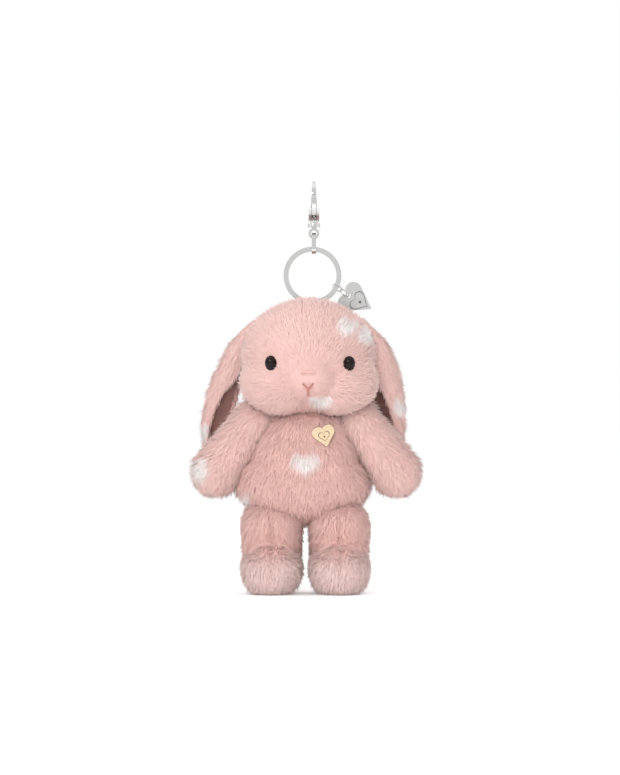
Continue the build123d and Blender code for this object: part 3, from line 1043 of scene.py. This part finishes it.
@dataclass
class Ear(PlushPart):
    """One floppy ear: a wall curled about its length, closed at the root and open lower down.

    At each height it has an outer edge, a radius in mm and an angle that its front edge reaches.
    """

    voxel: float = 0.9
    rounds: int = 5
    side: float = 1.0
    outside: EarEdge = EarEdge.RIGHT
    heights: tuple[float, ...] = (131, 127, 120, 112, 104, 96, 88, 80, 72, 66)
    radii: tuple[float, ...] = (4.0, 6.4, 8.0, 8.8, 9.2, 9.4, 9.6, 9.0, 7.2, 3.0)
    reaches: tuple[float, ...] = (300, 300, 298, 292, 278, 254, 242, 230, 216, 205)
    back_edge: float = 62.0
    fur: float = 2.2
    root_back: float = 3.5
    backward: float = 0.235
    roundness: float = 0.62
    flattening: float = 0.2
    wall: float = 2.2
    across: int = 30
    along: int = 44
    outward: float = 0.25
    trailing: float = 0.1
    hollow: float = 0.35
    lining_cut: float = 0.55
    root_length: float = 14.0
    root_above: float = 2.0
    root_reach: float = 0.35

    def form(self) -> bpy.types.Object:
        """Makes the ear's skin from a grid that is curled and given a wall.

        Returns:
            The skin.
        """
        bm = bmesh.new()
        bmesh.ops.create_grid(bm, x_segments=self.across, y_segments=self.along, size=1.0)
        for vert in bm.verts:
            vert.co = self.curl((vert.co.x + 1) / 2, (1 - vert.co.y) / 2)
        bmesh.ops.recalc_face_normals(bm, faces=bm.faces)
        bmesh.ops.solidify(bm, geom=bm.faces[:], thickness=self.wall)
        bmesh.ops.recalc_face_normals(bm, faces=bm.faces)
        return melted(f"{self.name}_plush", bm, self.voxel, self.rounds)

    def at(self, height: float) -> tuple[float, float, float, float]:
        """The curl's middle and size at a height.

        Args:
            height: mm above the floor.

        Returns:
            Its middle outwards and backwards, its radius and the angle its front edge reaches.
        """
        upward = self.heights[::-1]
        tables = (self.outside.value, self.radii, self.reaches)
        outside, radius, reach = (float(np.interp(height, upward, values[::-1])) for values in tables)
        middle = outside - self.fur - radius
        return middle, self.root_back + (self.heights[0] - height) * self.backward, radius, reach

    def curl(self, across: float, down: float) -> Vector:
        """Where a point of the flat ear goes.

        Args:
            across: 0 at the back edge next to the head, 1 at the front edge.
            down: 0 at the root, 1 at the tip.

        Returns:
            The point, in mm.
        """
        height = self.heights[0] + (self.heights[-1] - self.heights[0]) * down
        middle, behind, radius, reach = self.at(height)
        angle = math.radians(self.back_edge + (reach - self.back_edge) * across)
        depth = radius * (self.roundness - self.flattening * down)
        outward = middle - radius * math.cos(angle)
        return Vector((self.side * outward, behind + depth * math.sin(angle), height))

    def flow(self, places: Array, normals: Array) -> Array:
        """Down along the ear."""
        return np.tile((self.side * self.outward, self.trailing, -1.0), (len(places), 1))

    def lining(self, places: Array, normals: Array) -> Array:
        """The hollow of the curl: where the skin faces its middle.

        Args:
            places: n by 3, mm.
            normals: n by 3.

        Returns:
            1 where the vertex is in the hollow, otherwise 0.
        """
        measures = np.array([self.at(height) for height in places[:, 2]])
        inward = measures[:, :2] * (self.side, 1.0) - places[:, :2]
        facing = (inward * normals[:, :2]).sum(1)
        return (facing > self.hollow) * 1.0

    def reach(self, places: Array, normals: Array) -> Array:
        """The lining and the root are short."""
        down = self.heights[0] + self.root_above - places[:, 2]
        root = np.clip(down / self.root_length, self.root_reach, 1)
        return root * (1 - self.lining_cut * self.lining(places, normals))


# ---------------------------------------------------------------- hardware


@dataclass
class Hardware:
    """The hard pieces, which keep their own shapes, apart from the tapered hook. Lengths are in mm."""

    taper_length: float = 16.0
    taper_start: float = 1.12
    taper_loss: float = 0.62
    sharp: float = 38.0
    ease_width: float = 0.22
    ease_angle: float = 40.0
    steel: MetalFinish = MetalFinish("nickel_plate", (0.66, 0.66, 0.65), (0.54, 0.54, 0.53), 0.20)
    tag: MetalFinish = MetalFinish("tag_plate", (0.60, 0.60, 0.59), (0.50, 0.50, 0.49), 0.32, 500.0)
    gold: MetalFinish = MetalFinish("pale_gold", (0.88, 0.70, 0.48), (0.76, 0.58, 0.38), 0.20)
    washer: MouldedFinish = MouldedFinish("washer_plastic", (0.75, 0.74, 0.70), (0.82, 0.81, 0.78), 0.5)
    thread: ThreadFinish = ThreadFinish("nose_thread", (0.46, 0.20, 0.17), (0.30, 0.11, 0.09))
    bridge: ThreadFinish = ThreadFinish("bridge_thread", (0.74, 0.46, 0.41), (0.60, 0.34, 0.30))
    tape: ThreadFinish = ThreadFinish("loop_tape", (0.70, 0.42, 0.38), (0.50, 0.27, 0.24))

    def build(self, nodes: dict[str, bpy.types.Object]) -> None:
        """Dresses every hard node.

        Args:
            nodes: the frame's nodes by name.
        """
        finishes: dict[object, tuple[str, ...]] = {
            self.steel: (
                "split_ring",
                "connector_link",
                "swivel_bow",
                "hook_body",
                "gate_lever",
                "gate_pivot_pin",
                "gate_spring",
                "tag_ring_upper",
                "tag_ring_lower",
            ),
            self.tag: ("heart_tag",),
            self.gold: ("heart_badge",),
            self.washer: ("eye_washer_left", "eye_washer_right", "badge_clutch"),
            self.thread: ("nose_stitching",),
            self.bridge: ("bridge_stitching", "neck_seam_thread"),
            self.tape: ("hanging_loop",),
        }
        for finish, names in finishes.items():
            material = finish.build()
            for name in names:
                self.dress(nodes[name], material)
                if isinstance(finish, MetalFinish):
                    self.ease(nodes[name])
                if name == "hook_body":
                    self.taper(nodes[name], material)
                LOG.info("%s: %s", name, material.name)

    def taper(self, node: bpy.types.Object, material: bpy.types.Material) -> None:
        """Stands a hook that narrows towards its tip in for the plain one.

        Args:
            node: the plain hook.
            material: its finish.
        """
        bm = bmesh.new()
        bm.from_mesh(node.data)
        bmesh.ops.remove_doubles(bm, verts=bm.verts, dist=MERGE)
        low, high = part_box("hook_body")
        middle = (low.x + high.x) / 2
        start = high.z - self.taper_length * MM
        for vert in bm.verts:
            part = min(max((vert.co.z - start) / (high.z - start), 0.0), 1.0)
            thin = self.taper_start - self.taper_loss * part * part
            vert.co.x = middle + (vert.co.x - middle) * thin
        mesh = finished("hook_tapered", bm)
        mesh.shade_smooth()
        mesh.set_sharp_from_angle(angle=math.radians(self.sharp))
        mesh.materials.clear()
        mesh.materials.append(material)
        hook = show("hook_tapered", mesh)
        self.ease(hook)
        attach(hook, "hook")
        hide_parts("hook_body")
        LOG.info("%s: %d faces", hook.name, len(mesh.polygons))

    def ease(self, node: bpy.types.Object) -> None:
        """Rounds a metal piece's sharp edges a little, so that they catch the light.

        Args:
            node: the piece.
        """
        bevel = node.modifiers.new("ease", "BEVEL")
        bevel.width = self.ease_width * MM
        bevel.segments = 2
        bevel.limit_method = "ANGLE"
        bevel.angle_limit = math.radians(self.ease_angle)
        bevel.harden_normals = False

    @staticmethod
    def dress(node: bpy.types.Object, material: bpy.types.Material) -> None:
        """Gives a node one material in every slot.

        Args:
            node: the node.
            material: its finish.
        """
        if not node.material_slots:
            node.data.materials.append(material)
        for slot in node.material_slots:
            slot.link = "OBJECT"
            slot.material = material


@dataclass
class HeartLine:
    """A thin heart outline with a dot, on a flat face that looks towards -Y, in mm and degrees. It stands
    for an engraved line, and its dark finish is painted shade for the groove.
    """

    name: str
    body: str
    slot: str
    centre: Point
    size: float
    turn: float
    band: float
    dot: float
    finish: MetalFinish
    thick: float = 0.08
    inset: float = 2.4
    dot_drop: float = 0.06
    heart_segments: int = 56
    dot_segments: int = 20

    @staticmethod
    def heart(angle: float, width: float) -> Vector:
        """A point of the usual heart curve, which is 32 wide before it is scaled.

        Args:
            angle: how far round the point is, from the notch at the top.
            width: the heart's width.

        Returns:
            The point.
        """
        waves = ((1, 13), (2, -5), (3, -2), (4, -1))
        high = sum(weight * math.cos(turns * angle) for turns, weight in waves)
        return Vector((16 * math.sin(angle) ** 3, 0, high)) * width / 32

    def build(self) -> None:
        """Makes the outline and dot as one piece."""
        bm = bmesh.new()
        for radius in (self.size, self.size - self.inset * self.band):
            bmesh.ops.create_circle(bm, segments=self.heart_segments, radius=radius)
        for vert in bm.verts:
            vert.co = self.heart(math.atan2(vert.co.x, vert.co.y), vert.co.length)
        bmesh.ops.bridge_loops(bm, edges=bm.edges[:])
        lift = Matrix.Translation((0, 0, -self.size * self.dot_drop)) @ Matrix.Rotation(math.pi / 2, 4, "X")
        bmesh.ops.create_circle(
            bm, cap_ends=True, segments=self.dot_segments, radius=self.dot, matrix=lift
        )
        walls = bmesh.ops.extrude_face_region(bm, geom=bm.faces[:])["geom"]
        far = [item for item in walls if isinstance(item, bmesh.types.BMVert)]
        bmesh.ops.translate(bm, vec=(0, -self.thick, 0), verts=far)
        bmesh.ops.recalc_face_normals(bm, faces=bm.faces)
        place = Matrix.Translation(self.centre) @ Matrix.Rotation(-math.radians(self.turn), 4, "Y")
        bmesh.ops.transform(bm, matrix=Matrix.Scale(MM, 4) @ place, verts=bm.verts)
        mesh = finished(self.name, bm)
        line = show(self.name, mesh)
        # the outline's dark finish is painted shade standing for the engraved groove
        mesh.materials.append(self.finish.build())
        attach(line, self.body)
        LOG.info("%s: %d faces", self.name, len(mesh.polygons))


@dataclass
class Eyes:
    """Two glossy domes pressed into the face, in mm and degrees."""

    places: tuple[Point, Point] = ((-16.8, -21.5, 109.9), (20.2, -21.2, 109.7))
    radii: Point = (2.95, 2.9, 3.7)
    tilt: float = 6.0
    finish: MouldedFinish = MouldedFinish(
        "eye_dome", (0.006, 0.003, 0.003), (0.011, 0.005, 0.004), roughness=0.08, shine=0.22
    )

    def build(self) -> None:
        """Makes both eyes on the head."""
        material = self.finish.build()
        for name, place, side in zip(("left", "right"), self.places, (-1, 1)):
            bm = bmesh.new()
            turn = Matrix.Rotation(math.radians(self.tilt * side), 4, "Y")
            add_ball(bm, place, self.radii, turn)
            bmesh.ops.scale(bm, vec=(MM, MM, MM), verts=bm.verts)
            mesh = finished(f"eye_{name}_dome", bm)
            eye = show(mesh.name, mesh)
            mesh.materials.append(material)
            shade_round(mesh)
            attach(eye, "head")
            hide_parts(f"eye_{name}")
            LOG.info("%s: %d faces", eye.name, len(mesh.polygons))


# ---------------------------------------------------------------- studio


@dataclass(frozen=True)
class Lamp:
    """A square soft light: its place and side in metres, its watts, and whether metal reflects it."""

    name: str
    place: Point
    size: float
    power: float
    reflected: bool = True

    def build(self, aim: Point) -> None:
        """Hangs the light.

        Args:
            aim: what it looks at.
        """
        light = bpy.data.lights.new(self.name, "AREA")
        light.size = self.size
        light.energy = self.power
        lamp = bpy.data.objects.new(self.name, light)
        lamp.location = self.place
        lamp.rotation_euler = (Vector(aim) - Vector(self.place)).to_track_quat("-Z", "Y").to_euler()
        lamp.visible_glossy = self.reflected
        bpy.context.scene.collection.objects.link(lamp)


@dataclass
class Studio:
    """A pale floor, soft light, two dark cards and a long lens, in metres."""

    lens: float = 160.0
    distance: float = 1.653
    aim: Point = (0.0017, 0.0, 0.0984)
    world: float = 0.93
    floor_half: float = 6.0
    floor_glow: float = 0.14
    card_out: float = 0.34
    card_back: float = -0.22
    card_height: float = 0.20
    card_half: float = 0.08
    lamps: tuple[Lamp, ...] = (
        Lamp("key", (-0.10, -0.97, 0.26), 0.3, 2.9, reflected=False),
        Lamp("catch", (-0.30, -0.72, 0.62), 0.22, 1.9),
        Lamp("back", (0.35, 0.95, 0.45), 0.5, 4.0, reflected=False),
        Lamp("top", (0.15, 0.10, 1.20), 0.9, 1.0),
    )

    def build(self) -> None:
        """Makes the camera, the floor and the lights."""
        scene = bpy.context.scene
        scene.view_settings.view_transform = "Standard"
        camera = bpy.data.objects.new("camera", bpy.data.cameras.new("camera"))
        camera.data.lens = self.lens
        camera.location = (self.aim[0], self.aim[1] - self.distance, self.aim[2])
        camera.rotation_euler = (math.pi / 2, 0, 0)
        scene.collection.objects.link(camera)
        scene.camera = camera
        self.floor()
        self.sky()
        self.flag("flag_left", -1)
        self.flag("flag_right", 1)
        for lamp in self.lamps:
            lamp.build(self.aim)

    def panel(self, name: str, half: float, place: Matrix, paint: dict[str, object]) -> None:
        """Adds a square that belongs to the stage.

        Args:
            name: its name.
            half: half its side.
            place: where it lies.
            paint: its shader's own values.
        """
        bm = bmesh.new()
        bmesh.ops.create_grid(bm, x_segments=1, y_segments=1, size=half, matrix=place)
        square = show(name, finished(name, bm))
        book = NodeBook(name)
        book.set(**paint)
        square.data.materials.append(book.material)

    def floor(self) -> None:
        """A large pale floor that glows a little."""
        paint = {
            "Base_Color": (0.95, 0.95, 0.95, 1.0),
            "Roughness": 0.9,
            "Specular_IOR_Level": 0.0,
            "Emission_Color": (*PURE_WHITE, 1.0),
            "Emission_Strength": self.floor_glow,
        }
        self.panel("floor", self.floor_half, Matrix.Identity(4), paint)

    def flag(self, name: str, side: float) -> None:
        """A dark card beside the bunny, which draws edges in the metal.

        Args:
            name: its name.
            side: -1 for the left and 1 for the right.
        """
        upright = Matrix.Rotation(math.pi / 2, 4, "Y")
        place = Matrix.Translation((side * self.card_out, self.card_back, self.card_height)) @ upright
        self.panel(name, self.card_half, place, {"Base_Color": (0.02, 0.02, 0.02, 1.0), "Roughness": 1.0})

    def sky(self) -> None:
        """An even surround that looks pure white and lights a little less."""
        world = bpy.data.worlds.new("surround")
        bpy.context.scene.world = world
        world.use_nodes = True
        tree = world.node_tree
        glow = tree.nodes["Background"]
        glow.inputs["Color"].default_value = (*PURE_WHITE, 1.0)
        glow.inputs["Strength"].default_value = self.world
        seen = add_node(tree, "ShaderNodeBackground", Color=(*PURE_WHITE, 1.0))
        mix = add_node(tree, "ShaderNodeMixShader")
        path = add_node(tree, "ShaderNodeLightPath")
        tree.links.new(path.outputs["Is Camera Ray"], mix.inputs[0])
        tree.links.new(glow.outputs[0], mix.inputs[1])
        tree.links.new(seen.outputs[0], mix.inputs[2])
        tree.links.new(mix.outputs[0], tree.nodes["World Output"].inputs["Surface"])


# ---------------------------------------------------------------- the whole keychain


def plush_parts() -> list[PlushPart]:
    """The bunny's padded parts.

    Returns:
        Them all, in build order.
    """
    parts: list[PlushPart] = [
        Head(
            "head",
            ("head_front_cover", "head_back_cover", "head_stuffing"),
            Pile(4.4, 2.95, lift=0.28, seed=3),
            (
                HeartPatch(19.2, 126.5, 10.5, 9.0, -20.0),
                HeartPatch(28.6, 123.0, 10.0, 10.0, -60.0),
                HeartPatch(6.9, 90.4, 11.5, 6.5),
            ),
            pale=0.15,
            halves=True,
        ),
        Torso(
            "torso",
            ("torso_front_cover", "torso_back_cover", "torso_stuffing"),
            Pile(6.5, 3.0, lift=0.22, seed=5),
            (HeartPatch(-0.6, 61.2, 14.0, 9.0), HeartPatch(-29.5, 43.0, 6.0, 6.0, 20.0)),
            halves=True,
        ),
    ]
    for name, side in (("left", -1.0), ("right", 1.0)):
        left = side < 0
        arm_patch = (HeartPatch(-51.3, 57.5, 10.0, 12.0, 15.0),) if left else ()
        right_ear_patch = HeartPatch(45.5, 87.5, 8.0, 9.0, -10.0)
        ear_patch = HeartPatch(-50.5, 75.5, 8.0, 9.0, 10.0) if left else right_ear_patch
        parts += [
            Arm(
                f"arm_{name}",
                (f"arm_{name}_cover", f"arm_{name}_stuffing"),
                Pile(5.5, 3.6, lift=0.25, seed=7),
                arm_patch,
                pale=0.10,
                side=side,
            ),
            Leg(
                f"leg_{name}",
                (f"leg_{name}_cover", f"leg_{name}_stuffing", f"foot_sole_{name}"),
                Pile(5.2, 3.3, lift=0.26, seed=9),
                middle=-16.6 if left else 15.6,
            ),
            Ear(
                f"ear_{name}",
                (f"ear_{name}_outer", f"ear_{name}_lining"),
                Pile(4.4, 3.0, lift=0.24, seed=11),
                (ear_patch,),
                pale=0.12,
                side=side,
                outside=EarEdge.LEFT if left else EarEdge.RIGHT,
            ),
        ]
    return parts


def heart_lines(sunk: float = 0.02, rim: float = 0.3) -> list[HeartLine]:
    """The engraved outlines on the tag and the badge, drawn in dark finishes that are painted groove shade.

    Args:
        sunk: how far each outline's back is sunk into the face it lies on, in mm.
        rim: how far the badge's rim stands out from its flat face, in mm.

    Returns:
        Both, in build order.
    """
    tag_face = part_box("heart_tag")[0].y / MM
    badge_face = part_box("heart_badge")[0].y / MM + rim
    return [
        HeartLine(
            "tag_outline",
            body="tag",
            slot="tag_steel",
            centre=(25.4, tag_face + sunk, 140.0),
            size=9.5,
            turn=60,
            band=0.36,
            dot=0.7,
            # dark finish: painted shade of the engraved groove on the tag
            finish=MetalFinish("tag_etching", (0.22, 0.22, 0.22), (0.16, 0.16, 0.16), 0.5),
        ),
        HeartLine(
            "badge_outline",
            body="torso",
            slot="badge",
            centre=(8.5, badge_face + sunk, 75.4),
            size=5.6,
            turn=15,
            band=0.30,
            dot=0.5,
            # dark finish: painted shade of the engraved groove on the badge
            finish=MetalFinish("badge_etching", (0.30, 0.18, 0.12), (0.22, 0.13, 0.09), 0.4),
        ),
    ]


def main() -> None:
    """Builds the studio, the plush and the hardware."""
    logging.basicConfig(level=logging.INFO, format="%(message)s")
    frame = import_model()
    Studio().build()
    plush = PlushFinish("plush").build()
    for part in plush_parts():
        part.build(plush)
    Eyes().build()
    for line in heart_lines():
        line.build()
    Hardware().build(frame["nodes"])


if __name__ == "__main__":
    main()
